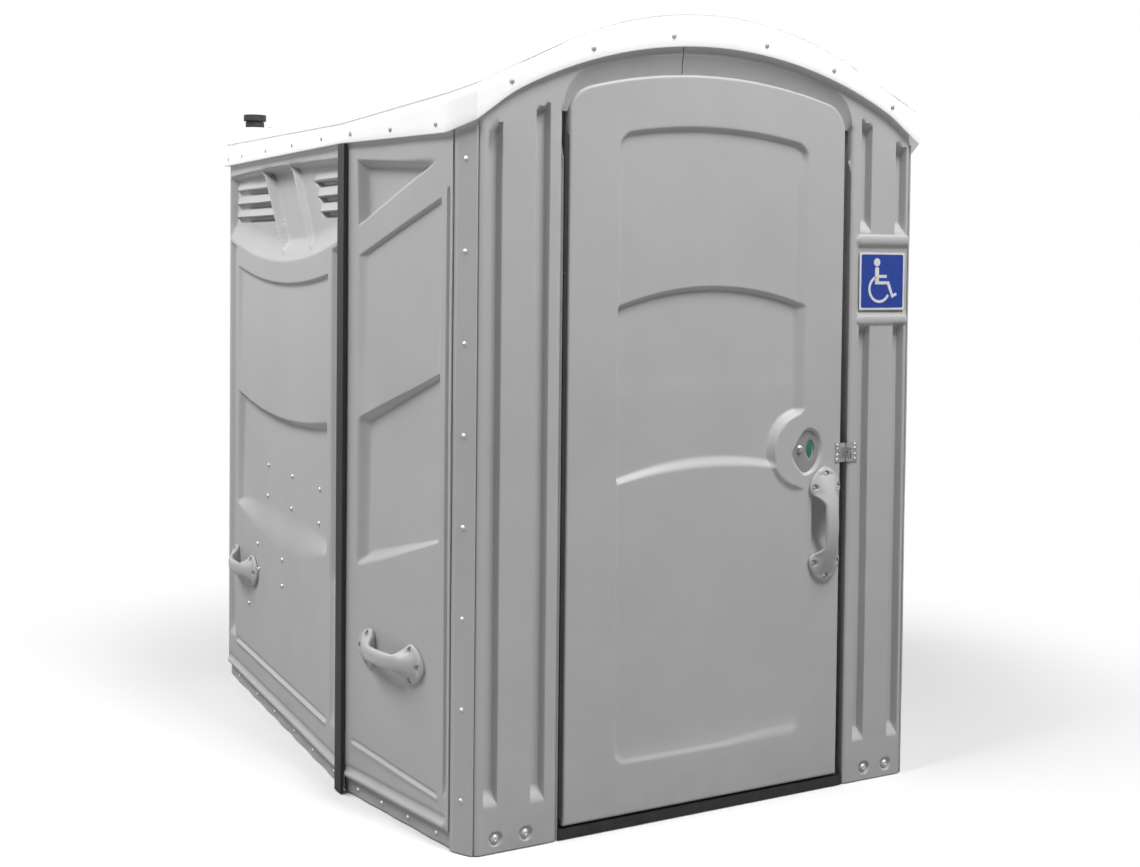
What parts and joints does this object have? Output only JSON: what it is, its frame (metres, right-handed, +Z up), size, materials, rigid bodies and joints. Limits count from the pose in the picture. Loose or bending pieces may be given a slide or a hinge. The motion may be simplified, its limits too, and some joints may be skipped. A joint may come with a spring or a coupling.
{
  "type": "portable toilet cabin",
  "caption": "wheelchair-size portable toilet: six-sided moulded grey cabin with arched white roof, wide hinged door, latch, vent, and a seat on a waste tank inside",
  "frame": {"origin": "middle of the floor, on the ground", "axes": "+X to the right seen from the door side, +Y to the back, +Z up; the door faces -Y"},
  "size_m": [1.7992, 2.096, 2.3],
  "materials": {
    "grey_shell": "satin moulded polyethylene, mid grey",
    "white_roof": "translucent white polyethylene",
    "black_trim": "satin black extrusion",
    "grey_floor": "textured dark grey polyethylene",
    "black_steel": "black painted steel",
    "bright_steel": "zinc-plated or stainless steel",
    "latch_moulding": "grey moulded plastic",
    "green_disc": "green for vacant, red for engaged",
    "handle_moulding": "grey moulded plastic",
    "tank_moulding": "grey polyethylene",
    "seat_moulding": "black plastic",
    "holder_moulding": "black plastic",
    "paper": "white tissue",
    "blue_sign": "blue and white vinyl"
  },
  "bodies": {
    "cabin": {"access_sign": "blue_sign", "back_panel": "grey_shell", "base_bolts": "bright_steel", "base_rivets": "bright_steel", "corner_rivets": "bright_steel", "corner_strip_left": "grey_shell", "corner_strip_right": "grey_shell", "floor_pan": "grey_floor", "front_frame_left": "grey_shell", "front_frame_right": "grey_shell", "grab_bar_back": "bright_steel", "grab_bar_side": "bright_steel", "hasp_jamb_plate": "bright_steel", "hasp_jamb_rivets": "bright_steel", "hinge_pin": "bright_steel", "jamb_hinge_leaf": "black_steel", "latch_strike": "bright_steel", "lift_handle_front_left": "handle_moulding", "lift_handle_front_right": "handle_moulding", "lift_handle_rear_left": "handle_moulding", "lift_handle_rear_right": "handle_moulding", "lift_handle_screws": "bright_steel", "paper_holder": "holder_moulding", "paper_spindle": "holder_moulding", "roof_screws": "bright_steel", "roof_shell": "white_roof", "seam_strip_left": "black_trim", "seam_strip_right": "black_trim", "seat_hinge_posts": "seat_moulding", "seat_hinge_rod": "bright_steel", "side_front_left": "grey_shell", "side_front_right": "grey_shell", "side_rear_left": "grey_shell", "side_rear_right": "grey_shell", "tank_deck": "tank_moulding", "threshold_sill": "black_trim", "vent_cap": "black_trim", "vent_pipe": "black_trim", "wall_bolts": "bright_steel", "waste_tank": "tank_moulding"},
    "door": {"door_outer_skin": "grey_shell", "door_inner_skin": "grey_shell", "door_hinge_leaf": "black_steel", "latch_bezel": "latch_moulding", "pull_handle": "handle_moulding", "inside_pull": "handle_moulding", "pull_handle_screws": "bright_steel", "hasp_door_plate": "bright_steel", "hasp_door_rivets": "bright_steel"},
    "latch": {"latch_spindle": "bright_steel", "latch_disc": "green_disc", "latch_lever": "latch_moulding"},
    "seat": {"toilet_seat": "seat_moulding"},
    "lid": {"toilet_lid": "seat_moulding"},
    "roll_rear": {"paper_roll_rear": "paper"},
    "roll_front": {"paper_roll_front": "paper"}
  },
  "joints": [
    {"name": "door_swing", "type": "hinge", "parent": "cabin", "child": "door", "pos_m": [-0.476, -1.003, 1], "axis": [0, 0, -1], "range_deg": [0, 100]},
    {"name": "latch_turn", "type": "hinge", "parent": "door", "child": "latch", "pos_m": [0.328, -1, 1.04], "axis": [0, 1, 0], "range_deg": [0, 90]},
    {"name": "seat_hinge", "type": "hinge", "parent": "cabin", "child": "seat", "pos_m": [-0.343, 0.822, 0.453], "axis": [-1, 0, 0], "range_deg": [0, 86]},
    {"name": "lid_hinge", "type": "hinge", "parent": "cabin", "child": "lid", "pos_m": [-0.343, 0.822, 0.453], "axis": [-1, 0, 0], "range_deg": [-100.5, 0]},
    {"name": "roll_rear_spin", "type": "hinge", "parent": "cabin", "child": "roll_rear", "pos_m": [-0.77487, 0.51956, 0.535], "axis": [-0.0324, -0.9995, 0], "continuous": true},
    {"name": "roll_front_spin", "type": "hinge", "parent": "cabin", "child": "roll_front", "pos_m": [-0.78071, 0.33966, 0.535], "axis": [-0.0324, -0.9995, 0], "continuous": true}
  ]
}
